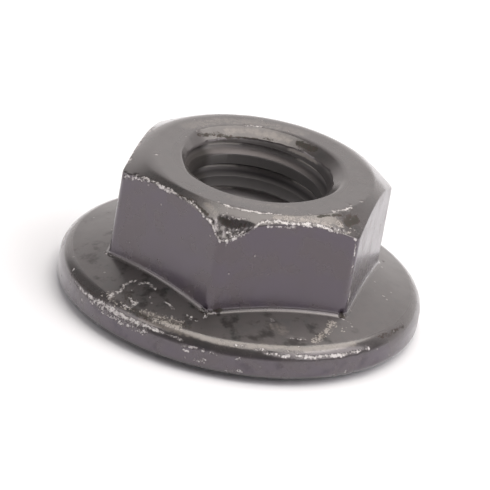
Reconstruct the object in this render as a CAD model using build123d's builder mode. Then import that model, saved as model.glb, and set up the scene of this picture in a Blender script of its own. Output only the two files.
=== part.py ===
from build123d import *
import os
from math import cos, radians, sin, tan

# M5 serrated flange nut: a hexagon rising out of a cone-topped round flange, all one
# piece, with a ring of saw-tooth serrations on the bearing face.
# Frame: millimetres, +Z along the bore towards the hexagon's top face.
# The origin is the centre of the bearing plane, which the serrations' crests lie on.
# Two corners of the hexagon are over the X axis, and two of its flats face -Y and +Y.

# thread and bore
thread_diameter = 5.0  # M5 coarse
thread_pitch = 0.8
top_mouth_diameter = 5.65  # countersink in the hexagon's top face
foot_mouth_diameter = 5.6  # countersink on the bearing side
countersink_angle = 120.0  # included angle, both ends
mouth_round = 0.12  # edge between the top face and its countersink

# hexagon
nut_height = 4.95
across_flats = 7.95
corner_radius = 0.34  # the six upright corners
top_land_diameter = 7.37  # flat circle that the chamfer leaves on the top face
chamfer_angle = 30.0  # down from the top face
foot_round = 0.25  # fillet between the flats and the flange

# flange
flange_diameter = 11.8
flange_angle = 17.0  # fall of the flange's top towards its rim
rim_height = 0.755  # top of the rim's upright wall, above the bearing plane
rim_upper_radius = 0.55
rim_lower_radius = 0.2

# serrations
tooth_count = 30
tooth_ring_outer = 10.4
tooth_ring_inner = 6.1
tooth_relief = 0.21  # how far the teeth stand below the flange's underside
tooth_depth = 0.19  # valley at the ring's outer edge, less towards the bore
tooth_land_angle = 2.2  # flat crest of each tooth, round the bore
tooth_face_angle = 78.0  # steep face, up from the bearing plane
ring_bevel_angle = 45.0  # outer and inner ends of the teeth
bore_side_recess = 0.1  # plain ring between the teeth and the bore

# The crests of an internal thread stand 5/8 of the sharp thread's height in from its
# nominal diameter, and the sharp height is the pitch times the cosine of 30 degrees.
minor_diameter = thread_diameter - 2 * 5 / 8 * cos(radians(30)) * thread_pitch

bore_radius = minor_diameter / 2
flat_radius = across_flats / 2
flange_radius = flange_diameter / 2
land_radius = top_land_diameter / 2
ring_outer = tooth_ring_outer / 2
ring_inner = tooth_ring_inner / 2
flange_slope = tan(radians(flange_angle))
chamfer_slope = tan(radians(chamfer_angle))
bevel_slope = tan(radians(ring_bevel_angle))
sink_slope = tan(radians(90 - countersink_angle / 2))

# The rim's upper round runs from the upright wall to where it meets the cone's slope.
upper_centre = flange_radius - rim_upper_radius
lower_centre = flange_radius - rim_lower_radius
half_turn = radians(90 - flange_angle) / 2
round_middle = (
    upper_centre + rim_upper_radius * cos(half_turn),
    rim_height + rim_upper_radius * sin(half_turn),
)
cone_edge = (
    upper_centre + rim_upper_radius * sin(radians(flange_angle)),
    rim_height + rim_upper_radius * cos(radians(flange_angle)),
)
cone_apex = cone_edge[1] + cone_edge[0] * flange_slope
ring_bevel_end = ring_outer + tooth_relief / bevel_slope

# Every line of a valley runs to one point on the bore's axis, so its section only
# changes in scale along the way. These are its corners at the ring's outer edge.
valley_angle = 360 / tooth_count - tooth_land_angle
valley_width = ring_outer * tan(radians(valley_angle))
valley_foot = tooth_depth / tan(radians(tooth_face_angle))
ramp_run = (valley_width - valley_foot) / tooth_depth
cut_below = tooth_depth
valley_corners = [
    (valley_foot, tooth_depth),
    (-cut_below / tan(radians(tooth_face_angle)), -cut_below),
    (valley_width + ramp_run * cut_below, -cut_below),
]

with BuildPart() as valley:
    for reach in (bore_radius, ring_bevel_end):
        across = Plane(origin=(reach, 0, 0), x_dir=(0, 1, 0), z_dir=(1, 0, 0))
        scale_here = reach / ring_outer
        with BuildSketch(across):
            with BuildLine():
                Polyline([(scale_here * y, scale_here * z) for y, z in valley_corners], close=True)
            make_face()
    loft(ruled=True)

with BuildPart() as flange_nut:
    # hexagon with rounded upright corners
    with BuildSketch(Plane.XY.offset(rim_height)) as hexagon:
        RegularPolygon(flat_radius, 6, major_radius=False)
        fillet(hexagon.vertices(), corner_radius)
    extrude(amount=nut_height - rim_height)

    # its corners chamfered by a cone that leaves the flat land on top
    with BuildSketch(Plane.XZ):
        with BuildLine():
            chamfer_foot = nut_height - (across_flats - land_radius) * chamfer_slope
            Polyline(
                (0, nut_height),
                (land_radius, nut_height),
                (across_flats, chamfer_foot),
                (across_flats, 0),
                (0, 0),
                close=True,
            )
        make_face()
    revolve(axis=Axis.Z, mode=Mode.INTERSECT)

    # the flange, turned in one with its tooth ring
    with BuildSketch(Plane.XZ):
        with BuildLine():
            Polyline(
                (0, cone_apex),
                (0, bore_side_recess),
                (ring_inner - bore_side_recess / bevel_slope, bore_side_recess),
                (ring_inner, 0),
                (ring_outer, 0),
                (ring_bevel_end, tooth_relief),
                (lower_centre, tooth_relief),
            )
            RadiusArc(
                (lower_centre, tooth_relief),
                (flange_radius, tooth_relief + rim_lower_radius),
                -rim_lower_radius,
            )
            Line((flange_radius, tooth_relief + rim_lower_radius), (flange_radius, rim_height))
            ThreePointArc((flange_radius, rim_height), round_middle, cone_edge)
            Line(cone_edge, (0, cone_apex))
        make_face()
    revolve(axis=Axis.Z)

    # fillet where the flats and corners come down onto the flange
    lower_edges = flange_nut.edges().filter_by_position(Axis.Z, rim_height, nut_height / 2)
    fillet(
        lower_edges.filter_by(GeomType.HYPERBOLA) + lower_edges.filter_by(GeomType.BSPLINE),
        foot_round,
    )

    # threaded hole at its minor diameter, countersunk at both ends
    with BuildSketch(Plane.XZ):
        with BuildLine():
            top_mouth = top_mouth_diameter / 2
            foot_mouth = foot_mouth_diameter / 2
            Polyline(
                (0, 0),
                (foot_mouth, 0),
                (foot_mouth, bore_side_recess),
                (bore_radius, bore_side_recess + (foot_mouth - bore_radius) * sink_slope),
                (bore_radius, nut_height - (top_mouth - bore_radius) * sink_slope),
                (top_mouth, nut_height),
                (0, nut_height),
                close=True,
            )
        make_face()
    revolve(axis=Axis.Z, mode=Mode.SUBTRACT)
    top_circles = flange_nut.edges().filter_by(GeomType.CIRCLE).group_by(Axis.Z)[-1]
    fillet(top_circles.sort_by(SortBy.RADIUS)[0], mouth_round)

    # serrations, their steep faces turned against loosening
    with PolarLocations(0, tooth_count):
        add(valley.part, mode=Mode.SUBTRACT)

flange_nut.part.label = "flange_nut"
os.makedirs("parts", exist_ok=True)
export_step(flange_nut.part, "parts/flange_nut.step")
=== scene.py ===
import bpy
import bmesh
from math import atan, atan2, copysign, cos, pi, radians, sin, sqrt, tan
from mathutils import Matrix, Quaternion, Vector, kdtree, noise


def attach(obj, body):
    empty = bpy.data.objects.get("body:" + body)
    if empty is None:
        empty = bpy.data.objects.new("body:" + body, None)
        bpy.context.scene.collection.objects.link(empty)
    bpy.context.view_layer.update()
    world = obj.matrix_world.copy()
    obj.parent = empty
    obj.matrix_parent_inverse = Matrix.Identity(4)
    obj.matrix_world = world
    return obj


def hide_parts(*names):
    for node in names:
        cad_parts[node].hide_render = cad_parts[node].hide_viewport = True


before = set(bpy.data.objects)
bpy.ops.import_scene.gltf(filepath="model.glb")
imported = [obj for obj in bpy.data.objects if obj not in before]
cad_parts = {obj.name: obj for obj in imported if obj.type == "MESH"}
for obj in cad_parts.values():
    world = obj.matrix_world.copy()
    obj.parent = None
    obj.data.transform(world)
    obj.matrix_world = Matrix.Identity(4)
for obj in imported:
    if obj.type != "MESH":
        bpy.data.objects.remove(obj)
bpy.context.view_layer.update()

mm = 0.001      # everything is modelled in millimetres and brought to metres at the end
weldGap = 0.0001


def setMode(mode):
    bpy.ops.object.mode_set(mode=mode)


def clearSelection():
    if bpy.context.object and bpy.context.object.mode != "OBJECT":
        setMode("OBJECT")
    for item in list(bpy.context.selected_objects):
        item.select_set(False)


def activate(piece):
    clearSelection()
    piece.select_set(True)
    bpy.context.view_layer.objects.active = piece


def drawOutline(name, points):
    # a small plane collapsed to one point, pulled along the outline point by point and closed
    clearSelection()
    bpy.ops.mesh.primitive_plane_add(size=0.01, location=points[0])
    piece = bpy.context.object
    piece.name = name
    setMode("EDIT")
    bpy.ops.mesh.merge(type="CENTER")
    for start, end in zip(points, points[1:]):
        step = [b - a for a, b in zip(start, end)]
        bpy.ops.mesh.extrude_region_move(TRANSFORM_OT_translate={"value": step})
    mesh = bmesh.from_edit_mesh(piece.data)
    mesh.verts.ensure_lookup_table()
    for vert in mesh.verts:
        vert.select_set(False)
    mesh.verts[0].select_set(True)
    mesh.verts[-1].select_set(True)
    mesh.select_flush_mode()
    bmesh.update_edit_mesh(piece.data)
    bpy.ops.mesh.edge_face_add()
    setMode("OBJECT")
    bpy.ops.object.transform_apply(location=True, rotation=True, scale=True)
    return piece


def applyModifier(piece, kind, name, **values):
    activate(piece)
    modifier = piece.modifiers.new(name, kind)
    for key, value in values.items():
        setattr(modifier, key, value)
    bpy.ops.object.modifier_apply(modifier=name)


def editAll(piece):
    activate(piece)
    setMode("EDIT")
    bpy.ops.mesh.select_all(action="SELECT")


def weld(piece, gap, fillHoles=False):
    # doubled points are merged and every face is turned outward
    editAll(piece)
    bpy.ops.mesh.remove_doubles(threshold=gap)
    if fillHoles:
        bpy.ops.mesh.fill_holes(sides=0)
        bpy.ops.mesh.select_all(action="SELECT")
    bpy.ops.mesh.normals_make_consistent(inside=False)
    setMode("OBJECT")


def cutAway(body, cutter, name):
    applyModifier(body, "BOOLEAN", name, operation="DIFFERENCE", solver="MANIFOLD", object=cutter)
    bpy.data.objects.remove(cutter)


# Sizes in millimetres, angles in degrees. A side is its direction from +X, then the cosines off
# that direction at which it is full and gone.
nut = {
    "threadDiameter": 5.0,
    "threadPitch": 0.8,
    "boreDiameter": 4.34,   # over the thread's crests
    "topMouth": 5.62,
    "mouthDip": 0.22,       # how much smaller the mouth's radius is on the left
    "dipSide": (160, 1, 0.76),
    "mouthNarrow": 0.09,    # and in front, on the right
    "narrowSide": (317, 1, 0.5),
    "sinkFoot": 4.80,       # where the top countersink ends and the bore drops away
    "sinkDepth": 0.235,
    "sinkRagged": 0.035,    # how unevenly its foot runs, out and in
    "sinkWaver": 0.6,       # and up and down, as a share of that
    "sinkGrain": 7,
    "throatDepth": 0.70,
    "footMouth": 5.6,
    "sinkSlope": 30.0,      # countersink under the nut, up from level
    "mouthRound": 0.10,
    "mouthSoft": 0.40,      # the same edge where it is worn round, on the right
    "mouthSide": (15, 0.9, 0.4),
    "height": 4.95,
    "acrossFlats": 7.95,
    "cornerRadius": 0.34,
    "topLand": 7.37,
    "chamferAngle": 30.0,
    "landRound": 0.09,      # edge between the land and the chamfer
    "landSoft": 0.90,       # the same edge round the back, where it is barely there
    "landSide": (100, 0.2, -0.5),
    "tipDrop": (0.17, 0.0, 0.0, -0.05, 0.05, 0.13),  # how far each corner's tip is cut below the chamfer
    "arcRound": 0.08,       # worn edge between the chamfer and the flats
    "footRound": 0.165,
    "flangeDiameter": 11.8,
    "flangeAngle": 17.0,
    "rimHeight": 0.755,
    "rimUpper": 0.55,
    "rimLower": 0.20,
    "toothCount": 30,
    "ringOuter": 10.4,
    "ringInner": 6.1,
    "toothRelief": 0.21,
    "toothDepth": 0.19,
    "toothLand": 2.2,
    "toothFace": 78.0,
    "boreRecess": 0.1,
    "columns": 600,
    "crowding": 0.55,       # how much closer the columns stand at the hexagon's corners
}
boreRadius = nut["boreDiameter"] / 2


def shapeNut(v):
    flat = v["acrossFlats"] / 2
    corner = (flat - v["cornerRadius"]) / cos(radians(30))
    landRadius = v["topLand"] / 2
    top = v["height"]
    throat = top - v["throatDepth"]
    flangeSlope = tan(radians(v["flangeAngle"]))
    sinkSlope = tan(radians(v["sinkSlope"]))
    rimRadius = v["flangeDiameter"] / 2
    upperCentre = rimRadius - v["rimUpper"]
    lowerCentre = rimRadius - v["rimLower"]
    coneEdge = upperCentre + v["rimUpper"] * sin(radians(v["flangeAngle"]))
    coneTop = v["rimHeight"] + v["rimUpper"] * cos(radians(v["flangeAngle"])) + coneEdge * flangeSlope
    footRound, tilt = v["footRound"], radians(90 - v["flangeAngle"])
    footCentre = footRound * (sqrt(1 + flangeSlope ** 2) - flangeSlope)
    ringOuter, ringInner, relief = v["ringOuter"] / 2, v["ringInner"] / 2, v["toothRelief"]

    def offCorner(angle):
        # how far a direction is from the nearest corner
        return (angle + radians(30)) % radians(60) - radians(30)

    def hexagon(angle):
        # distance to the rounded hexagon's outline, and the outline's own direction there
        turn = offCorner(angle)
        touch = atan2(v["cornerRadius"] * 0.5, corner + v["cornerRadius"] * cos(radians(30)))
        if abs(turn) < touch:
            reach = corner * cos(turn) + sqrt(v["cornerRadius"] ** 2 - (corner * sin(turn)) ** 2)
            away = atan2(reach * sin(turn), reach * cos(turn) - corner)
        else:
            reach = flat / cos(radians(30) - abs(turn))
            away = copysign(radians(30), turn)
        return reach, angle - turn + away

    def share(angle, side):
        # 1 in the middle of a side, 0 away from it
        middle, full, none = side
        amount = (cos(angle - radians(middle)) - none) / (full - none)
        amount = min(1, max(0, amount))
        return amount * amount * (3 - 2 * amount)

    def chamferAngle(angle):
        # a little steeper or flatter at each corner
        turn = offCorner(angle)
        drop = v["tipDrop"][round((angle - turn) / radians(60)) % 6] * cos(3 * turn) ** 2
        return atan(tan(radians(v["chamferAngle"])) + drop / (hexagon(radians(0))[0] - landRadius))

    def coneHeight(radius):
        return coneTop - radius * flangeSlope

    def even(count):
        return [n / count for n in range(count + 1)]

    # the section's zones, and how far along each its rows lie
    zones = (
        ("bore", (0.0, 1.0)), ("throat", (0.5, 0.93)), ("sink", (0.0, 0.12, 0.4, 0.7, 0.92)),
        ("mouth", even(7)), ("land", (0.05, 0.2, 0.4, 0.6, 0.8, 0.93)), ("landEdge", even(8)),
        ("chamfer", even(15)[1:-1]), ("arcEdge", even(6)),
        ("wall", (0.01, 0.025, 0.045, 0.07, 0.1, 0.14, 0.19, 0.26)),
        ("wall", (0.35, 0.45, 0.56, 0.67, 0.78, 0.87, 0.94, 0.985)),
        ("foot", even(9)), ("cone", (0.03, 0.07, *even(22)[2:-2], 0.95, 0.985)), ("rim", even(16)),
        ("rimWall", (0.08, 0.25, 0.5, 0.75, 0.92)), ("rimFoot", even(7)), ("under", (0.06, 0.5)),
        ("toothOut", (0.0, 1.0)), ("toothRing", (0.5,)), ("toothIn", (0.0, 1.0)), ("recess", (1.0,)),
    )
    rows = [(zone, t) for zone, steps in zones for t in steps]

    def place(zone, t, angle):
        reach, away = hexagon(angle)
        aim = Vector((cos(angle), sin(angle), 0))
        out = Vector((cos(away), sin(away), 0))

        def at(radius, height):
            return aim * radius + Vector((0, 0, height))

        slope = chamferAngle(angle)
        edgeTop = top - (reach - landRadius) * tan(slope)
        arcTrim = v["arcRound"] * tan((radians(90) - slope) / 2)
        landRound = v["landRound"] + (v["landSoft"] - v["landRound"]) * share(angle, v["landSide"])
        landTrim = landRound * tan(slope / 2)
        mouthRound = v["mouthRound"] + (v["mouthSoft"] - v["mouthRound"]) * share(angle, v["mouthSide"])
        mouth = v["topMouth"] / 2 - v["mouthDip"] * share(angle, v["dipSide"])
        mouth -= v["mouthNarrow"] * share(angle, v["narrowSide"])
        ragged = v["sinkRagged"] * noise.noise(aim * v["sinkGrain"])
        sinkFoot = v["sinkFoot"] / 2 + ragged
        sinkEnd = top - v["sinkDepth"] + ragged * v["sinkWaver"]
        sinkTurn = atan2(top - sinkEnd, mouth - sinkFoot)
        if zone == "bore":
            low = v["boreRecess"] + (v["footMouth"] / 2 - boreRadius) * sinkSlope
            return at(boreRadius, low + (throat - low) * t)
        if zone == "throat":
            return at(boreRadius, throat).lerp(at(sinkFoot, sinkEnd), t)
        if zone == "sink":
            last = mouth - mouthRound * tan(sinkTurn / 2) * cos(sinkTurn)
            radius = sinkFoot + (last - sinkFoot) * t
            return at(radius, top - (mouth - radius) * tan(sinkTurn))
        if zone == "mouth":
            centre = mouth + mouthRound * tan(sinkTurn / 2)
            turn = sinkTurn * (1 - t)
            return at(centre - mouthRound * sin(turn), top - mouthRound * (1 - cos(turn)))
        if zone == "land":
            inner = mouth + mouthRound * tan(sinkTurn / 2)
            return at(inner + (landRadius - landTrim - inner) * t, top)
        if zone == "landEdge":
            turn = slope * t
            return at(landRadius - landTrim + landRound * sin(turn), top - landRound * (1 - cos(turn)))
        if zone == "chamfer":
            first = landRadius + landTrim * cos(slope)
            last = reach - arcTrim * cos(slope)
            radius = first + (last - first) * t
            return at(radius, top - (radius - landRadius) * tan(slope))
        if zone == "arcEdge":
            turn = slope + (radians(90) - slope) * t
            centre = at(reach, edgeTop - arcTrim) - out * v["arcRound"]
            return centre + out * (v["arcRound"] * sin(turn)) + Vector((0, 0, v["arcRound"] * cos(turn)))
        if zone == "wall":
            high = edgeTop - arcTrim
            low = coneHeight(reach) + footCentre
            return at(reach, high + (low - high) * t)
        if zone == "foot":
            turn = tilt * t
            spot = aim * reach + out * (footRound * (1 - cos(turn)))
            rise = footCentre - footRound * sin(turn) + footRound * (1 - cos(turn)) * flangeSlope
            return spot + Vector((0, 0, coneHeight(spot.length) + rise))
        if zone == "cone":
            first = aim * reach + out * (footRound * (1 - cos(tilt)))
            spot = first.lerp(aim * coneEdge, t)
            return spot + Vector((0, 0, coneHeight(spot.length)))
        if zone == "rim":
            turn = tilt * (1 - t)
            return at(upperCentre + v["rimUpper"] * cos(turn), v["rimHeight"] + v["rimUpper"] * sin(turn))
        if zone == "rimWall":
            low = relief + v["rimLower"]
            return at(rimRadius, v["rimHeight"] + (low - v["rimHeight"]) * t)
        if zone == "rimFoot":
            turn = radians(90) * t
            return at(lowerCentre + v["rimLower"] * cos(turn), relief + v["rimLower"] * (1 - sin(turn)))
        if zone == "under":
            return at(lowerCentre + (ringOuter + relief - lowerCentre) * t, relief)
        if zone == "toothOut":
            return at(ringOuter + relief * (1 - t), relief * (1 - t))
        if zone == "toothRing":
            return at(ringOuter + (ringInner - ringOuter) * t, 0)
        if zone == "toothIn":
            return at(ringInner - v["boreRecess"] * t, v["boreRecess"] * t)
        return at(v["footMouth"] / 2, v["boreRecess"])

    # the section through one corner, turned into a ring
    outline = [place(zone, t, 0.0) for zone, t in rows]
    piece = drawOutline("nutBody", outline)
    rowMark = piece.data.attributes.new("row", "INT", "POINT")
    for vert in piece.data.vertices:
        rowMark.data[vert.index].value = min(range(len(rows)), key=lambda n: (outline[n] - vert.co).length)
    applyModifier(piece, "SCREW", "turned", axis="Z", angle=2 * pi, screw_offset=0, steps=v["columns"],
                  render_steps=v["columns"], use_merge_vertices=True, merge_threshold=weldGap)
    weld(piece, weldGap)

    # the flats are milled: each column moves in from the corner's section to its own
    rowMark = piece.data.attributes["row"]
    for vert in piece.data.vertices:
        zone, t = rows[rowMark.data[vert.index].value]
        angle = atan2(vert.co.y, vert.co.x)
        angle -= v["crowding"] * sin(6 * angle) / 6
        vert.co = place(zone, t, angle)
    piece.data.attributes.remove(rowMark)
    piece.data.update()
    return piece


nutBody = shapeNut(nut)
print("nut body turned and milled:", len(nutBody.data.vertices), "points")


def cutTeeth(body, v):
    ringOuter = v["ringOuter"] / 2
    width = ringOuter * tan(radians(360 / v["toothCount"] - v["toothLand"]))
    depth = v["toothDepth"]
    faceRun = depth / tan(radians(v["toothFace"]))
    rampRun = (width - faceRun) / depth
    corners = [(faceRun, depth), (-faceRun, -depth), (width + rampRun * depth, -depth)]
    # one wedge, drawn at the bore and pulled out to the ring's edge as it grows
    wedge = drawOutline("toothCutter", [
        (boreRadius, across * boreRadius / ringOuter, up * boreRadius / ringOuter) for across, up in corners])
    grow = (ringOuter + v["toothRelief"]) / boreRadius
    editAll(wedge)
    bpy.ops.mesh.edge_face_add()
    bpy.ops.mesh.extrude_region_move(TRANSFORM_OT_translate={"value": (0, 0, 0)})
    bpy.ops.transform.resize(value=(grow, grow, grow), center_override=(0, 0, 0))
    bpy.ops.mesh.select_all(action="SELECT")
    bpy.ops.mesh.normals_make_consistent(inside=False)
    others = v["toothCount"] - 1
    bpy.ops.mesh.spin(steps=others, angle=2 * pi * others / v["toothCount"],
                      center=(0, 0, 0), axis=(0, 0, 1), dupli=True)
    setMode("OBJECT")
    cutAway(body, wedge, "teeth")


cutTeeth(nutBody, nut)
print("serrations cut:", len(nutBody.data.polygons), "faces")

thread = {
    "phase": 248.0,         # degrees round the bore
    "start": -0.8,          # height of its first turn, below the nut
    "flankAngle": 30.0,
    "rootFlat": 0.04,       # at the nominal diameter
    "crestEase": 0.035,     # small round on the crest's two edges
    "clearance": 0.12,      # how far the cutter stands into the bore
    "steps": 120,
    "turns": 8,
}


def cutThread(body, v):
    major = nut["threadDiameter"] / 2
    rise = tan(radians(v["flankAngle"]))
    rootHalf = v["rootFlat"] / 2
    crestHalf = rootHalf + (major - boreRadius) * rise
    ease = v["crestEase"]
    # the upper half of the cutter's section, from the root in: distance from the axis, height
    half = [
        (major, rootHalf),
        (boreRadius + ease, crestHalf - ease * rise),
        (boreRadius + ease * 0.25, crestHalf + ease * 0.05),
        (boreRadius - 0.01, crestHalf + ease * 0.8),
        (boreRadius - v["clearance"], crestHalf + ease * 0.8),
    ]
    points = [(major, -rootHalf)] + half + [(radius, -height) for radius, height in half[:0:-1]]
    turn = radians(v["phase"])
    cutter = drawOutline("threadCutter", [
        (radius * cos(turn), radius * sin(turn), height + v["start"]) for radius, height in points])
    applyModifier(cutter, "SCREW", "helix", axis="Z", angle=2 * pi, screw_offset=nut["threadPitch"],
                  iterations=v["turns"], steps=v["steps"], render_steps=v["steps"], use_merge_vertices=False)
    weld(cutter, weldGap, fillHoles=True)
    cutAway(body, cutter, "thread")


cutThread(nutBody, thread)
weld(nutBody, 0.000005)
print("thread cut:", len(nutBody.data.polygons), "faces")

# Places are written (angle round the bore in degrees, distance from its axis, height).
wear = {
    "seed": 1,              # for the way the marks wander
    "chipDepth": 0.03,      # how far worn edges are eaten in
    "chipGrain": 9.0,       # chips to the millimetre
    "chipShare": 0.25,      # more of an edge is eaten as this rises
    "brushStep": 0.02,      # marks are painted in steps of this length
    "brushSpread": 1.25,    # and reach this many half widths
    "wanderGrain": 5,       # how finely they wander
    "waverGrain": 11,       # and how finely their width wavers
    "arcTurns": ((120, 0.75), (180, 0.85), (240, 0.8)),     # turn and strength of the far side's copies
    "rimTurns": ((225, 0.9),),
    # a crushed corner: a steep little step, then a rough hollow down to the corner's tip
    "bruise": {
        "facing": 243.0,
        "tip": (4.504, 4.09),
        "slope": 0.966,
        "spread": (0.55, 0.32),     # how fast it rises again to each side
        "step": (3.99, 4.14),
        "halfWidth": 1.5,
        "grain": 8,
        "rough": 0.04,
        "press": 0.97,
    },
    # knocks: place, radius, depth
    "dents": [
        ((239.9, 4.54, 3.75), 0.09, 0.05), ((298.4, 4.56, 1.65), 0.13, 0.07),
        ((238.5, 4.56, 1.62), 0.14, 0.05), ((243.5, 4.52, 1.62), 0.13, 0.05), ((302, 4.5, 2.44), 0.08, 0.04),
        ((2, 4.81, 1.49), 0.07, 0.04), ((181.5, 4.5, 4.42), 0.16, 0.05), ((186, 4.3, 4.6), 0.1, 0.03),
        ((206, 3.97, 4.76), 0.1, 0.03), ((234.8, 4.36, 4.54), 0.14, 0.04), ((290, 4.2, 4.62), 0.12, 0.03),
        ((294, 4.3, 4.6), 0.12, 0.03), ((61.5, 4.45, 4.5), 0.12, 0.04), ((118, 4.2, 4.62), 0.12, 0.03),
        ((75, 5.82, 1.04), 0.14, 0.04), ((128, 5.82, 1.04), 0.12, 0.03), ((20, 5.84, 1.0), 0.13, 0.03),
    ],
}

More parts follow.
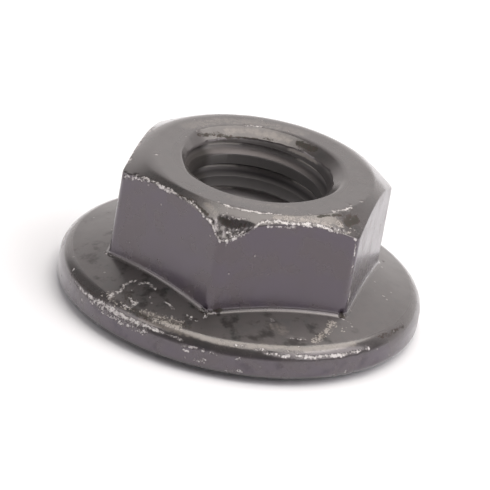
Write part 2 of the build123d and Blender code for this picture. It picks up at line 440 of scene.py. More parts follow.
# bare steel: half width, strength, then the line it follows
wear["bright"] = [
    # where the left flat meets the chamfer
    (0.05, 0.85, (181.3, 4.52, 4.36), (182.9, 4.46, 4.47), (184.8, 4.39, 4.43), (186.7, 4.32, 4.54),
        (186.8, 4.23, 4.63)),
    (0.05, 0.8, (186.7, 4.32, 4.54), (189.3, 4.25, 4.58), (190.9, 4.2, 4.6), (192.2, 4.1, 4.71)),
    (0.05, 0.8, (189.3, 4.25, 4.58), (190.2, 4.14, 4.69), (192.2, 4.1, 4.71), (194.9, 4.09, 4.7)),
    (0.04, 0.7, (194.9, 4.09, 4.7), (196.7, 4.02, 4.75), (199.3, 4.0, 4.77)),
    (0.07, 1.0, (199.3, 4.0, 4.77), (201.6, 4.01, 4.74), (203.6, 3.98, 4.76), (206.6, 3.98, 4.73),
        (208.7, 3.96, 4.78)),
    (0.05, 0.75, (206, 3.92, 4.81), (208.9, 3.93, 4.81)),
    (0.045, 0.7, (208.7, 3.96, 4.78), (212.2, 3.95, 4.79), (215, 3.98, 4.77), (216.2, 3.95, 4.8),
        (219.5, 3.98, 4.78)),
    (0.05, 0.95, (214.6, 3.98, 4.75), (215.4, 3.98, 4.76)),
    (0.045, 0.75, (219.5, 3.98, 4.78), (222.5, 4.0, 4.77), (225.3, 4.06, 4.73), (228.1, 4.14, 4.69)),
    (0.055, 1.0, (228.1, 4.14, 4.69), (229.8, 4.21, 4.62)),
    (0.06, 0.85, (231.6, 4.27, 4.59), (233, 4.29, 4.59), (234.5, 4.36, 4.52), (235.9, 4.42, 4.43)),
    # round the crushed corner
    (0.04, 0.75, (234, 4.34, 4.52), (235, 4.37, 4.45), (236.5, 4.43, 4.32), (238, 4.49, 4.2)),
    (0.04, 0.7, (238, 4.49, 4.2), (239.5, 4.52, 4.12), (241, 4.51, 4.1)),
    (0.055, 0.9, (241, 4.5, 4.11), (242.8, 4.46, 4.14)),
    (0.04, 0.7, (242.3, 4.49, 4.08), (242.5, 4.49, 3.98)),
    (0.04, 0.7, (243, 4.45, 4.14), (245, 4.37, 4.22), (247, 4.3, 4.32), (249, 4.27, 4.4)),
    (0.045, 0.8, (249, 4.27, 4.4), (251, 4.24, 4.5), (253, 4.14, 4.65), (255.3, 3.98, 4.78)),
    (0.045, 0.75, (236.5, 4.08, 4.72), (238.5, 4.02, 4.75), (241, 4.0, 4.77)),
    (0.035, 0.55, (241, 4.0, 4.77), (245, 3.99, 4.77), (249.5, 3.97, 4.78)),
    (0.045, 0.6, (237.5, 4.3, 4.4), (240.5, 4.3, 4.33), (243.5, 4.26, 4.34)),
    (0.04, 0.6, (243, 4.36, 4.24), (246, 4.25, 4.35), (249, 4.19, 4.46)),
    (0.035, 0.5, (243, 4.2, 4.4), (246.5, 4.15, 4.47), (250.5, 4.1, 4.58)),
    # where the front flat meets the chamfer, a double line
    (0.075, 0.85, (255.8, 3.99, 4.77), (258.2, 3.95, 4.8), (261.7, 3.91, 4.82), (264.5, 3.9, 4.83),
        (267, 3.93, 4.81)),
    (0.065, 0.8, (267, 3.93, 4.81), (269.3, 3.95, 4.79), (272.1, 3.95, 4.79), (274.7, 3.96, 4.79)),
    (0.07, 0.85, (274.7, 3.96, 4.79), (277, 3.95, 4.8), (279.6, 3.97, 4.78), (281.9, 4.01, 4.76),
        (283.7, 4.04, 4.74)),
    (0.04, 0.9, (258.3, 4.04, 4.66), (261.3, 4.0, 4.68), (264.8, 3.99, 4.68), (268.6, 3.98, 4.68),
        (271.4, 3.98, 4.68)),
    (0.045, 0.8, (274.3, 3.98, 4.74), (277.6, 4.0, 4.72), (279.3, 4.02, 4.72)),
    (0.065, 1.0, (285, 4.07, 4.72), (286.5, 4.12, 4.69), (287.8, 4.17, 4.62), (289.3, 4.21, 4.58)),
    (0.07, 1.0, (292, 4.23, 4.63), (293.1, 4.28, 4.6), (294.4, 4.32, 4.58)),
    (0.04, 0.9, (291, 4.26, 4.53), (291.5, 4.27, 4.53)),
    (0.05, 0.8, (295.4, 4.38, 4.52), (296.2, 4.4, 4.5)),
    (0.05, 1.0, (298.3, 4.5, 4.32), (298.8, 4.52, 4.3)),
    # the land's edge
    (0.042, 1.05, (236, 3.67, 4.95), (239.2, 3.7, 4.94), (241.9, 3.67, 4.94), (245.5, 3.69, 4.94)),
    (0.048, 1.2, (245.5, 3.69, 4.94), (248.5, 3.69, 4.94), (252.1, 3.67, 4.94), (254, 3.69, 4.94)),
    (0.04, 1.0, (254, 3.69, 4.94), (256.5, 3.67, 4.94), (260.2, 3.64, 4.95), (263.3, 3.66, 4.94),
        (266, 3.67, 4.94)),
    (0.045, 1.05, (294.5, 3.63, 4.95), (298.8, 3.65, 4.95), (303.3, 3.69, 4.94), (306.9, 3.7, 4.94)),
    (0.03, 0.5, (265.3, 3.81, 4.88), (266.2, 3.7, 4.93)),
    (0.03, 0.5, (259.8, 3.79, 4.89), (261, 3.73, 4.92)),
    (0.03, 0.5, (277.9, 3.7, 4.93), (276.8, 3.81, 4.88)),
    # the upright edge on the right
    (0.04, 0.8, (299.2, 4.53, 4.12), (299.6, 4.53, 3.86)),
    (0.04, 0.95, (299.6, 4.53, 3.84), (299.8, 4.53, 3.72)),
    (0.035, 0.6, (299.9, 4.53, 3.45), (300, 4.53, 3.2), (299.8, 4.53, 3.0)),
    (0.045, 1.0, (301.5, 4.51, 2.36), (301.8, 4.5, 2.28)),
    (0.03, 0.7, (301.4, 4.52, 2.2), (301.2, 4.52, 1.95)),
    # at the foot of the corners
    (0.03, 0.7, (236.5, 4.52, 1.64), (238.6, 4.58, 1.6), (239.7, 4.7, 1.53), (239.6, 4.84, 1.49)),
    (0.03, 0.6, (240.2, 4.8, 1.5), (240.6, 4.64, 1.56), (240.8, 4.56, 1.64)),
    (0.03, 0.7, (297.9, 4.63, 1.56), (298.8, 4.74, 1.52), (299.9, 4.87, 1.48)),
    (0.03, 0.6, (177.5, 4.67, 1.54), (180.6, 4.61, 1.59), (182.5, 4.55, 1.62)),
    # the rim's upper edge, rubbed on the left
    (0.05, 0.6, (189, 5.86, 0.96), (193, 5.87, 0.95)),
    (0.06, 0.85, (193, 5.87, 0.95), (196.2, 5.87, 0.96), (199.5, 5.86, 0.98), (202.3, 5.84, 1.02)),
    (0.075, 1.0, (202.3, 5.84, 1.02), (205.4, 5.83, 1.03), (208.7, 5.83, 1.03), (211.1, 5.83, 1.02),
        (213.8, 5.83, 1.02)),
    (0.068, 0.98, (213.8, 5.83, 1.02), (216.4, 5.83, 1.03), (218.7, 5.82, 1.04), (221, 5.82, 1.05),
        (223.5, 5.81, 1.06)),
    (0.05, 0.9, (223.5, 5.81, 1.06), (225.5, 5.82, 1.05), (227.7, 5.81, 1.05), (229.8, 5.82, 1.05)),
    (0.04, 0.6, (229.8, 5.82, 1.05), (232.5, 5.82, 1.05), (236, 5.83, 1.03)),
    (0.1, 0.42, (200, 5.88, 0.9), (206, 5.89, 0.86), (214, 5.89, 0.82), (224, 5.89, 0.86)),
    (0.05, 0.5, (252.5, 5.68, 1.19), (255.5, 5.66, 1.2)),
    (0.05, 0.55, (259, 5.72, 1.16), (262.5, 5.7, 1.18)),
    (0.04, 0.45, (268, 5.7, 1.18), (274, 5.72, 1.16)),
    # and chipped on the right
    (0.04, 0.75, (262.3, 5.78, 1.1), (264.5, 5.79, 1.09), (266.3, 5.8, 1.08)),
    (0.045, 0.8, (267.5, 5.81, 1.06), (268.9, 5.82, 1.05), (270.2, 5.81, 1.06)),
    (0.06, 1.0, (273, 5.81, 1.06), (275, 5.82, 1.05), (276.9, 5.84, 1.01), (279.7, 5.83, 1.03)),
    (0.055, 0.9, (279.7, 5.83, 1.03), (282.5, 5.82, 1.04), (284.6, 5.84, 1.0)),
    (0.065, 1.1, (284.6, 5.84, 1.02), (286.6, 5.83, 1.03), (288.4, 5.84, 1.0)),
    (0.05, 0.85, (288.4, 5.84, 1.0), (289.9, 5.84, 1.01), (292.8, 5.83, 1.03), (294.4, 5.84, 1.01),
        (295.8, 5.83, 1.02)),
    (0.045, 0.85, (298.6, 5.83, 1.03), (299.6, 5.84, 1.01)),
    (0.03, 0.7, (255, 5.66, 1.21), (256, 5.63, 1.23)),
    (0.03, 0.6, (261.6, 5.72, 1.16), (262.6, 5.73, 1.15)),
    # scratches on the flange
    (0.055, 0.95, (205.7, 5.62, 1.23), (205.3, 5.49, 1.29), (204.2, 5.37, 1.32)),
    (0.05, 0.9, (205.4, 5.35, 1.32), (205.4, 5.24, 1.36), (204.9, 5.12, 1.4), (203.7, 4.95, 1.45)),
    (0.05, 0.92, (203.7, 4.95, 1.45), (203.6, 4.8, 1.5), (203.8, 4.65, 1.54), (204.8, 4.5, 1.59)),
    (0.05, 0.9, (207.2, 4.55, 1.58), (208.1, 4.45, 1.6), (208.9, 4.36, 1.63), (210.7, 4.36, 1.63),
        (212.5, 4.38, 1.63), (214.1, 4.4, 1.62)),
    (0.045, 0.8, (207.7, 4.91, 1.47), (207.7, 4.76, 1.51)),
    (0.045, 0.92, (211.9, 5.61, 1.24), (214.2, 5.56, 1.26), (214.6, 5.31, 1.34), (214.1, 5.2, 1.38)),
    (0.042, 0.85, (210.6, 5.23, 1.36), (213.8, 5.35, 1.33)),
    (0.042, 0.85, (222.6, 4.71, 1.53), (224.4, 4.75, 1.51), (227.1, 4.86, 1.48)),
    (0.035, 0.7, (235, 5.03, 1.42), (235.9, 5.05, 1.42)),
    (0.03, 0.7, (237, 5.05, 1.42), (237.8, 5.05, 1.42)),
    (0.03, 0.6, (262, 5.23, 1.37), (262.8, 5.23, 1.37)),
    (0.03, 0.6, (264.8, 5.29, 1.35), (266.3, 5.29, 1.35)),
    (0.03, 0.6, (271.2, 5.17, 1.38), (272.3, 5.18, 1.38)),
    (0.035, 0.8, (274.4, 5.27, 1.36), (277.4, 5.26, 1.36)),
    # scratches on the rim's wall
    (0.04, 0.8, (236.5, 5.9, 0.86), (238.5, 5.89, 0.9), (241.4, 5.88, 0.93)),
    (0.04, 0.7, (237, 5.9, 0.76), (238.6, 5.9, 0.74)),
    (0.035, 0.5, (244.8, 5.89, 0.85), (247.6, 5.89, 0.87)),
    (0.05, 0.9, (242.3, 5.9, 0.52), (244.2, 5.9, 0.56)),
    (0.045, 0.8, (253.9, 5.89, 0.82), (254.7, 5.89, 0.88)),
    (0.03, 0.5, (251, 5.9, 0.38), (253, 5.9, 0.4)),
    (0.045, 0.85, (254, 5.9, 0.46), (255.8, 5.9, 0.43)),
    (0.035, 0.5, (260.8, 5.9, 0.65), (262.7, 5.9, 0.62)),
    (0.03, 0.55, (204.1, 5.88, 0.89), (206.4, 5.89, 0.85)),
    # mouth of the bore, at the back
    (0.04, 0.85, (86, 2.82, 4.945), (80.3, 2.84, 4.945), (76.4, 2.85, 4.95), (73, 2.86, 4.95)),
]


def wearFarSide(v):
    # marks of the front, turned round and a little fainter
    starts = [(mark, mark[2]) for mark in v["bright"]]
    arcLines = [mark for mark, (angle, radius, height) in starts
                if angle > 255 and 3.85 < radius < 4.3 and height > 4.6]
    rimLines = [mark for mark, (angle, radius, height) in starts if radius > 5.7 and height > 0.94]
    for marks, turns in ((arcLines, v["arcTurns"]), (rimLines, v["rimTurns"])):
        for turn, share in turns:
            for half, strength, *line in marks:
                turned = [((angle + turn) % 360, radius, height) for angle, radius, height in line]
                v["bright"].append((half, strength * share, *turned))


wearFarSide(wear)

# single specks of bare steel, by their radius
wear["specks"] = {
    0.03: [(272.5, 5.9, 0.54)],
    0.035: [(275.3, 5.9, 0.55)],
    0.04: [(220.7, 3.52, 4.95), (238.8, 3.91, 4.82), (221.8, 3.92, 4.82), (216.7, 4.84, 1.49),
        (199.7, 4.13, 1.72), (266.8, 4.45, 1.6), (273.1, 5.21, 1.37), (214.8, 5.9, 0.77),
        (237.9, 5.9, 0.53), (30, 3.3, 4.95)],
    0.045: [(317, 3.66, 4.95), (235.2, 4.96, 1.45), (215.9, 5.9, 0.63), (270.5, 5.9, 0.56),
        (75, 3.4, 4.95)],
    0.05: [(232.7, 3.64, 4.95), (280.4, 3.57, 4.95), (308.6, 3.6, 4.95), (183.4, 5.75, 1.13),
        (233.6, 4.94, 1.46), (330.1, 4.72, 1.52), (195.1, 5.9, 0.68), (209.3, 5.88, 0.9),
        (212.3, 5.9, 0.77), (241.1, 5.9, 0.5), (290.7, 5.9, 0.39), (302.3, 5.9, 0.54), (50, 5.9, 0.6),
        (130, 5.9, 0.8), (15, 5.9, 0.6), (160, 5.9, 0.6), (80, 5.1, 1.41), (140, 4.9, 1.47)],
    0.06: [(173, 3.43, 4.95), (223.1, 5.89, 0.87), (95, 5.9, 0.7)],
    0.075: [(243.3, 5.89, 0.87)],
}

# rubbed through to a dull beige: half width, strength, line
wear["scuffs"] = [
    (0.13, 0.55, (219, 5.46, 1.3), (223.7, 5.42, 1.31), (226.6, 5.36, 1.33), (229.6, 5.32, 1.34),
        (232.9, 5.26, 1.36)),
    (0.12, 0.75, (224.5, 5.58, 1.25), (228, 5.55, 1.26), (231, 5.53, 1.27), (234, 5.52, 1.27)),
    (0.14, 0.8, (292.6, 4.7, 1.53), (289.5, 4.87, 1.48), (286.6, 5.04, 1.42), (283.5, 5.23, 1.37),
        (281, 5.34, 1.33)),
    (0.1, 0.5, (295.5, 5.0, 1.44), (293.6, 5.1, 1.41)),
    (0.15, 0.45, (203, 5.6, 1.24), (210, 5.66, 1.2), (216, 5.66, 1.2)),
    (0.13, 0.75, (262, 3.8, 4.88), (270, 3.82, 4.87), (278, 3.85, 4.86), (284, 3.92, 4.82),
        (289, 4.02, 4.76)),
    (0.12, 0.65, (293.5, 4.02, 4.75), (294.5, 4.12, 4.69)),
    (0.11, 0.6, (296, 4.34, 4.57), (299, 4.32, 4.6), (301, 4.36, 4.57)),
    (0.2, 0.5, (70, 5.4, 1.3), (78, 5.3, 1.35)),
    (0.16, 0.5, (112, 5.2, 1.38), (118, 5.35, 1.33)),
]

# worn thin, smooth and a little paler: half width, strength, line
wear["thin"] = [
    (0.3, 0.5, (50, 3.15, 4.95), (75, 3.15, 4.95), (100, 3.15, 4.95), (125, 3.2, 4.95)),
    (0.2, 0.35, (235, 3.1, 4.95), (255, 3.1, 4.95), (275, 3.1, 4.95)),
    (0.1, 0.7, (220.5, 5.73, 1.15), (227.1, 5.71, 1.17)),
    (0.115, 0.7, (227.1, 5.7, 1.18), (234.7, 5.66, 1.2), (247.8, 5.67, 1.2), (257.5, 5.64, 1.22),
        (275.8, 5.66, 1.21), (288, 5.65, 1.22)),
    (0.12, 0.7, (288, 5.65, 1.22), (294, 5.66, 1.21)),
    (0.2, 0.55, (220, 5.5, 1.28), (227, 5.46, 1.29), (233, 5.4, 1.31)),
    (0.16, 0.5, (292, 4.75, 1.52), (286.6, 5.04, 1.42), (281, 5.34, 1.33)),
    (0.2, 0.6, (262, 3.8, 4.88), (276, 3.82, 4.87), (287, 3.9, 4.83)),
    (0.14, 1.0, (289, 3.88, 4.84), (292, 3.92, 4.82), (294.5, 4.05, 4.75)),
    (0.12, 0.5, (228, 3.85, 4.85), (234, 4.0, 4.77)),
    (0.22, 0.45, (266, 4.72, 1.53), (270, 4.87, 1.48)),
    (0.14, 0.65, (100, 2.62, 4.84), (84, 2.64, 4.86), (66, 2.62, 4.84), (54, 2.6, 4.82)),
]

# grimy, matt patches, with some lines of painted shade among them: half width, strength, line
wear["soil"] = [
    (0.1, 0.95, (237.5, 4.1, 4.64), (239.5, 4.1, 4.56), (241.5, 4.1, 4.54)),
    (0.035, 0.75, (241.5, 4.07, 4.6), (245, 4.06, 4.6), (249, 4.04, 4.66)),
    (0.04, 0.7, (241.5, 4.15, 4.46), (245, 4.13, 4.5), (248.5, 4.1, 4.58)),
    (0.04, 0.6, (244.5, 4.28, 4.3), (247.5, 4.2, 4.4)),
    # painted dark reflection: a strip along the left chamfer just above its edge
    (0.08, 0.75, (213, 3.96, 4.78), (217, 3.94, 4.79), (221, 3.95, 4.79), (224.5, 4.0, 4.76),
        (228, 4.08, 4.72), (230.5, 4.15, 4.68)),
    (0.075, 0.75, (125, 2.62, 4.84), (116, 2.6, 4.83), (108, 2.59, 4.82)),
    (0.07, 0.35, (118, 2.56, 4.8), (105, 2.55, 4.8)),
    # painted shade: down to and along the countersink's foot at the back, where the first groove's shadow
    # falls
    (0.05, 0.8, (125, 2.65, 4.85), (118, 2.57, 4.8), (111, 2.5, 4.76), (104, 2.44, 4.72), (97, 2.41, 4.71)),
    (0.03, 0.8, (97, 2.41, 4.71), (90, 2.41, 4.71), (82, 2.41, 4.71), (73, 2.43, 4.72), (63, 2.47, 4.74),
        (55, 2.5, 4.76)),
    (0.12, 1.0, (46, 2.6, 4.83), (40, 2.6, 4.83), (32, 2.62, 4.84)),
    (0.05, 0.8, (284, 3.75, 4.91), (288.4, 3.74, 4.92), (292.8, 3.76, 4.9), (297.2, 3.82, 4.87)),
    (0.13, 0.55, (299.5, 3.93, 4.8), (303, 3.95, 4.79), (306, 4.0, 4.76)),
    (0.14, 1.0, (298.5, 4.08, 4.72), (302, 4.1, 4.7), (305, 4.06, 4.73)),
    (0.05, 0.6, (293, 4.02, 4.75), (293.6, 4.15, 4.68)),
    (0.05, 0.6, (296.5, 4.0, 4.76), (296.3, 4.18, 4.66)),
    (0.07, 0.9, (298.4, 4.56, 1.65), (299.2, 4.62, 1.6)),
    (0.06, 0.9, (242.5, 4.5, 1.66), (245.5, 4.4, 1.7)),
    (0.07, 0.8, (237.5, 4.6, 1.6), (240.5, 4.7, 1.56)),
    (0.2, 0.5, (208, 5.15, 1.39), (212, 5.35, 1.33)),
    (0.16, 0.55, (216, 5.58, 1.25), (222, 5.62, 1.23), (236, 5.4, 1.31)),
    (0.05, 0.5, (184, 5.84, 1.0), (191.8, 5.8, 1.06), (201, 5.77, 1.1), (206, 5.76, 1.11)),
    (0.1, 0.5, (306, 5.7, 1.18), (312, 5.74, 1.15), (320, 5.76, 1.13)),
]


def spot(angle, radius, height):
    turn = radians(angle)
    return Vector((radius * cos(turn), radius * sin(turn), height))


def crushCorner(mesh, v):
    facing = spot(v["facing"], 1, 0)
    aside = spot(v["facing"] + 90, 1, 0)
    first, last = v["step"]
    reach, level = v["tip"]
    for vert in mesh.vertices:
        along, across = vert.co.dot(facing), vert.co.dot(aside)
        if along < first - 0.1 or abs(across) > v["halfWidth"]:
            continue
        limit = level + (reach - along) * v["slope"] + v["spread"][across > 0] * across ** 2
        limit += v["rough"] * noise.noise(vert.co * v["grain"])
        share = min(1, max(0, (vert.co.xy.length - first) / (last - first)))
        if vert.co.z > limit:
            vert.co.z += (limit - vert.co.z) * share * share * (3 - 2 * share) * v["press"]
    mesh.update()


def wearNut(body, v):
    noise.seed_set(v["seed"])
    mesh = body.data
    verts = mesh.vertices
    crushCorner(mesh, v["bruise"])
    finder = kdtree.KDTree(len(verts))
    for vert in verts:
        finder.insert(vert.co, vert.index)
    finder.balance()

    def keep(name, amounts):
        layer = mesh.attributes.new(name, "FLOAT", "POINT")
        layer.data.foreach_set("value", amounts)

    def paint(marks, name, ragged):
        # each line is walked in short steps, wider and fainter by turns
        amounts = [0.0] * len(verts)
        for half, strength, *line in marks:
            places = [spot(*place) for place in line]
            for start, end in zip(places, places[1:]):
                count = max(1, int((end - start).length / v["brushStep"]))
                for n in range(count + 1):
                    middle = start.lerp(end, n / count)
                    middle += noise.noise_vector(middle * v["wanderGrain"]) * half * ragged * 0.5
                    reach = half * v["brushSpread"] * (1 + ragged * noise.noise(middle * v["waverGrain"]))
                    for _, index, gap in finder.find_range(middle, reach):
                        amounts[index] = max(amounts[index], strength * (1 - (gap / reach) ** 2))
        keep(name, amounts)
        return amounts

    specks = [(radius, 1.0, place, place) for radius, places in v["specks"].items() for place in places]
    bright = paint(v["bright"] + specks, "bare", 0.6)
    paint(v["scuffs"], "scuff", 0.5)
    paint(v["soil"], "grimeAndShade", 0.4)
    paint(v["thin"], "thin", 0.3)
    # the finish also depends on which way a face looks: upright ones, whose violet base colour is a painted
    # reflection tint, and the flange's slope
    keep("upright", [1 - min(1, abs(vert.normal.z) * 2) for vert in verts])
    keep("slope", [float(vert.co.z < 2 and vert.normal.z > 0.94) for vert in verts])

    # worn edges are eaten in and knocks are pressed in
    moves = {}
    for vert in verts:
        if bright[vert.index] > 0.15:
            chip = max(0, noise.noise(vert.co * v["chipGrain"]) + v["chipShare"]) * bright[vert.index]
            moves[vert.index] = -vert.normal * chip * v["chipDepth"]
    for place, radius, depth in v["dents"]:
        for _, index, gap in finder.find_range(spot(*place), radius):
            fall = (1 - (gap / radius) ** 2) ** 2
            moves[index] = moves.get(index, Vector()) - verts[index].normal * depth * fall
    for index, move in moves.items():
        verts[index].co += move
    mesh.update()


wearNut(nutBody, wear)
print("wear added")

editAll(nutBody)
bpy.ops.transform.resize(value=(mm, mm, mm), center_override=(0, 0, 0))
setMode("OBJECT")
bpy.ops.object.shade_smooth_by_angle(angle=radians(32))


def feed(tree, socket, value):
    # a socket takes either another node's result or a plain value
    if isinstance(value, bpy.types.NodeSocket):
        tree.links.new(value, socket)
    else:
        socket.default_value = value


def setAll(node, values):
    for name, value in values.items():
        node.inputs[name].default_value = value


def addRamp(tree, value, low, high, first=0.0, last=1.0):
    node = tree.nodes.new("ShaderNodeMapRange")
    node.interpolation_type = "SMOOTHSTEP"
    names = ("Value", "From Min", "From Max", "To Min", "To Max")
    for name, setting in zip(names, (value, low, high, first, last)):
        feed(tree, node.inputs[name], setting)
    return node.outputs["Result"]


def newMaterial(name):
    material = bpy.data.materials.new(name)
    material.use_nodes = True
    return material, material.node_tree, material.node_tree.nodes["Principled BSDF"]


# Scales are patterns to the millimetre. A pair of levels is where something starts and is full.
coat = {
    "violet": (0.019, 0.0115, 0.0275, 1),   # upright faces: a violet cast painted in as a reflection tint
    "plum": (0.022, 0.0145, 0.020, 1),
    "brown": (0.020, 0.018, 0.017, 1),      # everything else
    "olive": (0.011, 0.013, 0.012, 1),
    "violetLevels": (0.40, 0.62),
    "brownLevels": (0.50, 0.66),
    "cloudScale": 1.1,
    "stainScale": 2.6,
    "grainScale": 14.0,
    "fleckScale": 17.0,
    "patchScale": 7.65,
    "ior": 1.85,
    "tint": (1.0, 0.90, 0.95, 1),
    "roughness": (0.20, 0.30),
    "flangeRoughness": 0.16,    # more, on the flange's slope
    "cupRoughness": 0.06,       # and in the countersink
    # dark metallic patches: painted shade on the front of the flange's slope, darker patches elsewhere
    "darkPatchScale": 1.7,
    "darkPatchMetal": 0.66,
    "darkPatchLevels": (0.50, 0.66),
    "oil": 0.75,
    "oilRoughness": 0.14,
    "oilIor": 1.5,
    "oilShares": {"rubbed": 0.3, "rightRim": 0.4, "cup": 0.75, "flats": 0.45},  # how much of it is left
    "bareBright": (0.60, 0.575, 0.578, 1),
    "bareDull": (0.27, 0.25, 0.25, 1),
    "bareRoughness": 0.42,
    "bareMetal": 0.4,
    "bareLevels": (0.40, 0.70),
    "bareBreak": (3.6, 2.0),    # how far flecks and patches break up its edge
    "dotScale": 1.8,
    "dotSize": 0.085,
    "rubbed": (0.085, 0.078, 0.078, 1),     # worn thin, not yet bare
    "rubbedLevels": (0.10, 0.55),
    "scuffed": (0.31, 0.283, 0.262, 1),
    "scuffRoughness": 0.40,
    "scuffLevels": (0.50, 0.95),
    "scuffBreak": (4.0, 2.6),
    # grime's colours, given to the painted shade lines among the grime marks too
    "grimeAndShadeTone": (0.050, 0.049, 0.043, 1),
    "rusty": (0.066, 0.047, 0.044, 1),
    "grimeAndShadeRoughness": 0.5,
    "grimeAndShadeMetal": 0.85,
    "grimeAndShadeLevels": (0.25, 0.60),
    "thinned": (0.105, 0.092, 0.08, 1),
    "thinLevels": (0.15, 0.75),
    "bumpDepth": 0.000015,      # in metres
}

# The bore's bands are written start, full, fading and end. Its radii and heights are in millimetres,
# its turns in radians from straight behind to the left. Levels are heights unrolled along the thread.
bore = {
    "behind": 70.0,             # straight behind the nut, in degrees from +X
    "litFlank": (0.056, 0.051, 0.048, 1),   # the thread's first turn on the light's side, painted darker as painted shade; also the colour of the bore's painted shade
    "litLevels": (4.12, 4.17, 4.43, 4.50),
    "litTurns": (-1.2, -0.5, 0.75, 1.0),
    "flank": (0.095, 0.090, 0.092, 1),      # and the rest of it
    # the crests are painted lighter than the flanks, as painted light where less light reaches them
    "crest": (0.165, 0.159, 0.16, 1),
    "crestRadii": (2.172, 2.178),
    "hollow": (0.31, 0.298, 0.30, 1),       # towards its root, painted lighter as painted light in the groove's shade
    "hollowRadii": (2.32, 2.48),
    "deep": (0.36, 0.347, 0.35, 1),         # down the bore, painted lighter as painted light in its shade
    "deepHeights": (3.5, 2.5),
    "root": (0.70, 0.68, 0.66, 1),          # painted highlights along the root in two places
    "rootHighlightRadii": (2.465, 2.485),
    "rootHighlightTurns": ((0.28, 0.36, 0.76, 0.86), (-0.88, -0.78, -0.50, -0.42)),
    "rubbed": (0.19, 0.175, 0.165, 1),      # one place just below the countersink
    "rubbedTurns": (-0.90, -0.80, -0.37, -0.30),
    "rubbedHeights": (4.56, 4.60, 4.70, 4.74),
    "rubbedRadii": (2.46, 2.42),
    "roughness": (0.5, 0.7),
    "mouthLevels": (-0.05, -0.025),         # it begins this far under the countersink
    "mouthRadii": (2.65, 2.7),              # and nothing outside these belongs to it
    "cupRadii": (2.92, 2.82),               # the countersink above it
}


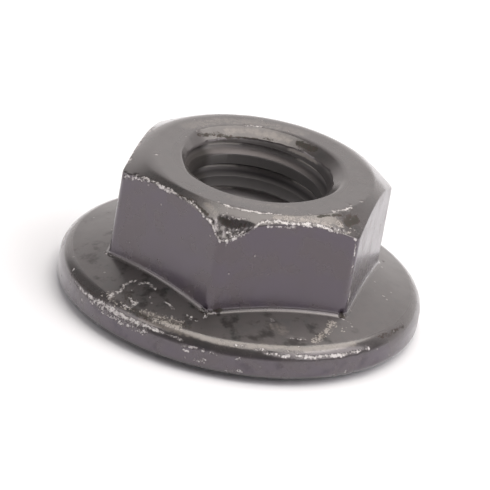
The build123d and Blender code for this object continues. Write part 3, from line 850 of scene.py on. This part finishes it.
def makeCoat(v, b):
    material, tree, shader = newMaterial("blackOxide")
    nodes, links = tree.nodes, tree.links

    def combine(operation, values, clamp=False):
        total = values[0]
        for value in values[1:]:
            node = nodes.new("ShaderNodeMath")
            node.operation = operation
            node.use_clamp = clamp
            feed(tree, node.inputs[0], total)
            feed(tree, node.inputs[1], value)
            total = node.outputs[0]
        return total

    def plus(*values):
        return combine("ADD", values)

    def times(*values):
        return combine("MULTIPLY", values)

    def larger(*values):
        return combine("MAXIMUM", values)

    def minus(first, second, clamp=False):
        return combine("SUBTRACT", (first, second), clamp)

    def opposite(value):
        return minus(1.0, value)

    def pattern(scale, detail, roughness=0.6):
        node = nodes.new("ShaderNodeTexNoise")
        setAll(node, {"Scale": scale, "Detail": detail, "Roughness": roughness})
        links.new(mapping.outputs["Vector"], node.inputs["Vector"])
        return node.outputs["Fac"]

    def ramp(value, low, high, first=0.0, last=1.0):
        return addRamp(tree, value, low, high, first, last)

    def band(value, start, full, fading, end):
        return times(ramp(value, start, full), ramp(value, end, fading))

    def mixValue(factor, first, second, kind="FLOAT"):
        node = nodes.new("ShaderNodeMix")
        node.data_type = kind
        for name, value in (("Factor", factor), ("A", first), ("B", second)):
            feed(tree, node.inputs[name], value)
        return node.outputs["Result"]

    def blend(factor, first, second):
        return mixValue(factor, first, second, "RGBA")

    def painted(name):
        node = nodes.new("ShaderNodeAttribute")
        node.attribute_name = name
        return node.outputs["Fac"]

    def broken(amount, ragged, levels):
        # a painted amount, its edges broken up by a pattern
        return ramp(plus(amount, times(ragged, ramp(amount, 0.02, 0.3))), *levels)

    # the pattern's space is in millimetres
    coordinates = nodes.new("ShaderNodeTexCoord")
    mapping = nodes.new("ShaderNodeMapping")
    setAll(mapping, {"Scale": (1000, 1000, 1000)})
    links.new(coordinates.outputs["Object"], mapping.inputs["Vector"])
    split = nodes.new("ShaderNodeSeparateXYZ")
    links.new(mapping.outputs["Vector"], split.inputs["Vector"])
    x, y, z = (split.outputs[name] for name in "XYZ")

    clouds = pattern(v["cloudScale"], 5, 0.55)
    stains = pattern(v["stainScale"], 4, 0.55)
    grain = pattern(v["grainScale"], 4)
    flecks = minus(pattern(v["fleckScale"], 3), 0.5)
    patches = minus(pattern(v["patchScale"], 3), 0.5)

    # worn places break up into flecks, thickest along the middle of each mark
    marks = painted("bare")
    speckle = plus(times(flecks, v["bareBreak"][0]), times(patches, v["bareBreak"][1]))
    bare = broken(marks, speckle, v["bareLevels"])
    dots = nodes.new("ShaderNodeTexVoronoi")
    setAll(dots, {"Scale": v["dotScale"]})
    links.new(mapping.outputs["Vector"], dots.inputs["Vector"])
    bare = larger(bare, ramp(dots.outputs["Distance"], v["dotSize"], v["dotSize"] * 0.6, 0.0, 0.8))
    rubbed = times(ramp(plus(marks, times(patches, 1.6)), *v["rubbedLevels"]), ramp(marks, 0.02, 0.2))
    lace = plus(times(flecks, v["scuffBreak"][0]), times(patches, v["scuffBreak"][1]))
    scuff = broken(painted("scuff"), lace, v["scuffLevels"])
    # grime marks, with the lines of painted shade and painted dark reflection among them
    grimeAndShade = broken(painted("grimeAndShade"), times(lace, 0.4), v["grimeAndShadeLevels"])
    thin = broken(painted("thin"), times(patches, 1.2), v["thinLevels"])

    # the bore below its countersink is dull: flanks dark, their reflection damped as painted shade; crests,
    # hollows and deep turns painted lighter as painted light; painted highlights along the roots
    across = nodes.new("ShaderNodeCombineXYZ")
    links.new(x, across.inputs["X"])
    links.new(y, across.inputs["Y"])
    distance = nodes.new("ShaderNodeVectorMath")
    distance.operation = "LENGTH"
    links.new(across.outputs["Vector"], distance.inputs[0])
    radius = distance.outputs["Value"]
    slope = tan(radians(nut["sinkSlope"]))
    sinkLevel = nut["height"] - nut["sinkDepth"] - nut["sinkFoot"] / 2 * slope
    level = plus(minus(z, times(radius, slope)), times(patches, 0.06))
    below = ramp(level, *(sinkLevel + edge for edge in b["mouthLevels"]), 1.0, 0.0)
    inside = times(below, ramp(radius, *b["mouthRadii"], 1.0, 0.0))
    # turn by turn down the thread
    behind = radians(b["behind"])
    along = plus(times(x, cos(behind)), times(y, sin(behind)))
    aside = plus(times(x, -sin(behind)), times(y, cos(behind)))
    turn = combine("ARCTAN2", (aside, along))
    level = minus(z, times(turn, nut["threadPitch"] / (2 * pi)))
    level = plus(level, times(patches, 0.06))
    lit = times(band(level, *b["litLevels"]), band(turn, *b["litTurns"]))
    # painted highlights: bright lines along the root in two windows of turn
    bright = larger(*(band(turn, *turns) for turns in b["rootHighlightTurns"]))
    # painted light: lighter towards the groove's root and down the bore, lifting their shade
    hollow = ramp(radius, *b["hollowRadii"])
    deep = ramp(z, *b["deepHeights"])
    # painted shade: the side of the bore that is out of the light is painted dark
    shade = times(ramp(turn, 0.25, 0.45), ramp(turn, 2.6, 2.2, 0.0, 0.8))
    shade = times(shade, larger(ramp(level, 4.50, 4.56), ramp(turn, 0.80, 1.0)))
    rub = times(band(turn, *b["rubbedTurns"]), ramp(radius, *b["rubbedRadii"]))
    rub = times(rub, band(plus(z, times(patches, 0.08)), *b["rubbedHeights"]))
    # painted shade: flanks and crests turn dark metallic, damping their reflection, as does the shaded side
    paintedBoreShade = larger(times(opposite(hollow), minus(opposite(lit), rub, True), opposite(deep)), shade)
    bright = times(ramp(radius, *b["rootHighlightRadii"]), bright)
    boreColour = blend(ramp(radius, *b["crestRadii"]), b["crest"], blend(lit, b["flank"], b["litFlank"]))
    layers = ((hollow, "hollow"), (deep, "deep"), (shade, "litFlank"), (bright, "root"), (rub, "rubbed"))
    for amount, name in layers:
        boreColour = blend(amount, boreColour, b[name])

    upright = painted("upright")
    # the oxide's brown, and on upright faces a violet mix painted in as a reflection tint
    colour = blend(ramp(stains, *v["brownLevels"]), v["brown"], v["olive"])
    colour = blend(upright, colour, blend(ramp(clouds, *v["violetLevels"]), v["violet"], v["plum"]))
    # the colour of grime, and of the painted shade lines
    soiled = blend(ramp(flecks, 0.0, 0.12), v["grimeAndShadeTone"], v["rusty"])
    shine = ramp(plus(times(marks, 0.55), times(patches, 2.2)), 0.10, 0.60)
    steel = blend(shine, v["bareDull"], v["bareBright"])
    layers = ((inside, boreColour), (thin, v["thinned"]), (grimeAndShade, soiled), (times(rubbed, 0.8), v["rubbed"]),
              (scuff, v["scuffed"]), (bare, steel))
    for amount, layer in layers:
        colour = blend(amount, colour, layer)
    links.new(colour, shader.inputs["Base Color"])

    flange = painted("slope")
    rimWall = times(upright, ramp(z, 1.3, 1.0))
    cup = ramp(radius, *b["cupRadii"])
    rough = ramp(clouds, 0.3, 0.7, *v["roughness"])
    rough = plus(rough, times(flange, v["flangeRoughness"]))
    rough = mixValue(inside, rough, mixValue(lit, b["roughness"][1], b["roughness"][0]))
    for worn, name in ((grimeAndShade, "grimeAndShade"), (scuff, "scuff"), (bare, "bare")):
        rough = mixValue(worn, rough, v[name + "Roughness"])
    rough = plus(rough, times(cup, times(opposite(inside), v["cupRoughness"])))
    links.new(rough, shader.inputs["Roughness"])

    # painted shade on the front of the flange's slope, made dark metallic in patches, and darker patches on
    # its rim's wall and faintly elsewhere
    paintedShadeAndDarkening = times(flange, ramp(minus(times(aside, 0.5), along), 0.0, 2.5))
    paintedShadeAndDarkening = larger(paintedShadeAndDarkening, times(rimWall, 0.6), times(opposite(upright), 0.15))
    darkPatchesAndShade = times(ramp(pattern(v["darkPatchScale"], 5), *v["darkPatchLevels"]), paintedShadeAndDarkening)
    # grime with its painted shade lines, and the painted shade in the bore, turn dark metallic
    dulled = larger(minus(grimeAndShade, scuff, True), times(paintedBoreShade, inside))
    dark = larger(times(dulled, v["grimeAndShadeMetal"]), times(darkPatchesAndShade, v["darkPatchMetal"]))
    links.new(mixValue(bare, dark, v["bareMetal"]), shader.inputs["Metallic"])

    # the thin film of oil is gone where the surface is worn, grimy, painted with shade or inside the bore,
    # and on the flange it thickens to the right
    shares = v["oilShares"]
    worn = larger(bare, scuff, grimeAndShade, inside, times(rubbed, 1 - shares["rubbed"]))
    film = times(
        opposite(worn), v["oil"],
        mixValue(flange, 1.0, ramp(aside, -2.0, -4.5, 0.84, 1.12)),
        mixValue(times(rimWall, ramp(aside, -3.2, -5.2)), 1.0, shares["rightRim"]),
        mixValue(times(cup, ramp(z, 4.93, 4.90)), 1.0, shares["cup"]),
        mixValue(times(upright, ramp(z, 1.5, 1.9)), 1.0, shares["flats"]))
    links.new(film, shader.inputs["Coat Weight"])

    height = plus(times(grain, 0.10), times(flecks, 2.0, larger(rubbed, scuff)))
    bump = nodes.new("ShaderNodeBump")
    setAll(bump, {"Strength": 1.0, "Distance": v["bumpDepth"]})
    links.new(minus(height, bare), bump.inputs["Height"])
    links.new(bump.outputs["Normal"], shader.inputs["Normal"])

    setAll(shader, {"IOR": v["ior"], "Specular Tint": v["tint"]})
    setAll(shader, {"Coat IOR": v["oilIor"], "Coat Roughness": v["oilRoughness"]})
    return material


nutBody.data.materials.clear()
nutBody.data.materials.append(makeCoat(coat, bore))
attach(nutBody, "root")
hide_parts("flange_nut")
print("finish applied")

view = {
    "place": (-63.0509, -177.0613, 90.3024),
    "aim": (-0.0374, 0.0133, 2.0187),
    "roll": 10.305,
    "lens": 473.427,
    "sensor": 36,
    "clip": (0.001, 10),
}


def addCamera(v):
    place = Vector(v["place"]) * mm
    sight = (Vector(v["aim"]) * mm - place).normalized()
    clearSelection()
    bpy.ops.object.camera_add(location=place)
    camera = bpy.context.object
    camera.name = "camera"
    camera.rotation_mode = "QUATERNION"
    camera.rotation_quaternion = Quaternion(sight, -radians(v["roll"])) @ sight.to_track_quat("-Z", "Y")
    camera.data.lens = v["lens"]
    camera.data.sensor_width = v["sensor"]
    camera.data.clip_start, camera.data.clip_end = v["clip"]
    bpy.context.scene.camera = camera


addCamera(view)
print("camera placed")

# Directions are in degrees: 0 is straight behind the nut, 90 to its right as the camera sees it.
studio = {
    "behind": 70.4,         # the direction of 0, from +X
    "distance": 0.5,
    "boxes": {
        "topBox": {
            "height": 77.1, "turn": 74.2, "size": (0.485, 0.55), "light": 2.45, "colour": (1.0, 0.985, 0.90)},
        "rightBox": {
            "height": 37, "turn": 112, "size": (0.46, 0.36), "light": 2.3, "colour": (1.0, 0.97, 0.96)},
        "leftBox": {
            "height": 34, "turn": -107, "size": (0.24, 0.42), "light": 1.6, "colour": (1.0, 0.97, 0.95)},
    },
    "roomColour": (1.0, 0.955, 0.93, 1),
    "room": 0.27,
    "backdrop": 0.98,
    "backdropTurn": 15,
    "backdropEdge": (0.42, 0.65),
    "floorColour": (0.92, 0.915, 0.965, 1),
    "floorSize": 4,
    "floorGap": 0.01,       # below the nut, in millimetres
    "sweep": 0.95,          # the pale sweep behind the floor's edge
    "sweepHeight": 7,       # degrees up
    "sweepSoft": 3,
}


def towards(turn, height, behind):
    angle = radians(behind - turn)
    rise = radians(height)
    return Vector((cos(angle) * cos(rise), sin(angle) * cos(rise), sin(rise)))


def addBox(name, box, v):
    aim = towards(box["turn"], box["height"], v["behind"])
    clearSelection()
    bpy.ops.object.light_add(type="AREA", location=aim * v["distance"])
    lamp = bpy.context.object
    lamp.name = name
    lamp.rotation_mode = "QUATERNION"
    lamp.rotation_quaternion = (-aim).to_track_quat("-Z", "Y")
    lamp.data.shape = "RECTANGLE"
    lamp.data.size, lamp.data.size_y = box["size"]
    lamp.data.energy = box["light"] * pi * box["size"][0] * box["size"][1]
    lamp.data.color = box["colour"]


def addFloor(v):
    clearSelection()
    bpy.ops.mesh.primitive_plane_add(size=v["floorSize"], location=(0, 0, -v["floorGap"] * mm))
    floor = bpy.context.object
    floor.name = "floor"
    material, _, shader = newMaterial("paleFloor")
    setAll(shader, {"Base Color": v["floorColour"], "Roughness": 0.9, "Specular IOR Level": 0.0})
    floor.data.materials.append(material)


def addRoom(v):
    world = bpy.data.worlds.new("studio")
    bpy.context.scene.world = world
    world.use_nodes = True
    tree = world.node_tree
    nodes, links = tree.nodes, tree.links
    background = nodes["Background"]
    setAll(background, {"Color": v["roomColour"]})
    coordinates = nodes.new("ShaderNodeTexCoord")
    facing = nodes.new("ShaderNodeVectorMath")
    facing.operation = "DOT_PRODUCT"
    facing.inputs[1].default_value = towards(v["backdropTurn"], 0, v["behind"])
    links.new(coordinates.outputs["Generated"], facing.inputs[0])
    split = nodes.new("ShaderNodeSeparateXYZ")
    links.new(coordinates.outputs["Generated"], split.inputs["Vector"])
    screen = addRamp(tree, facing.outputs["Value"], *v["backdropEdge"], v["room"], v["backdrop"])
    high = sin(radians(v["sweepHeight"]))
    low = sin(radians(v["sweepHeight"] - v["sweepSoft"]))
    sweep = addRamp(tree, split.outputs["Z"], high, low, 0, v["sweep"])
    brightest = nodes.new("ShaderNodeMath")
    brightest.operation = "MAXIMUM"
    links.new(screen, brightest.inputs[0])
    links.new(sweep, brightest.inputs[1])
    links.new(brightest.outputs[0], background.inputs["Strength"])


for name, box in studio["boxes"].items():
    addBox(name, box, studio)
addFloor(studio)
addRoom(studio)
bpy.context.scene.view_settings.view_transform = "Standard"
print("floor and lights placed")
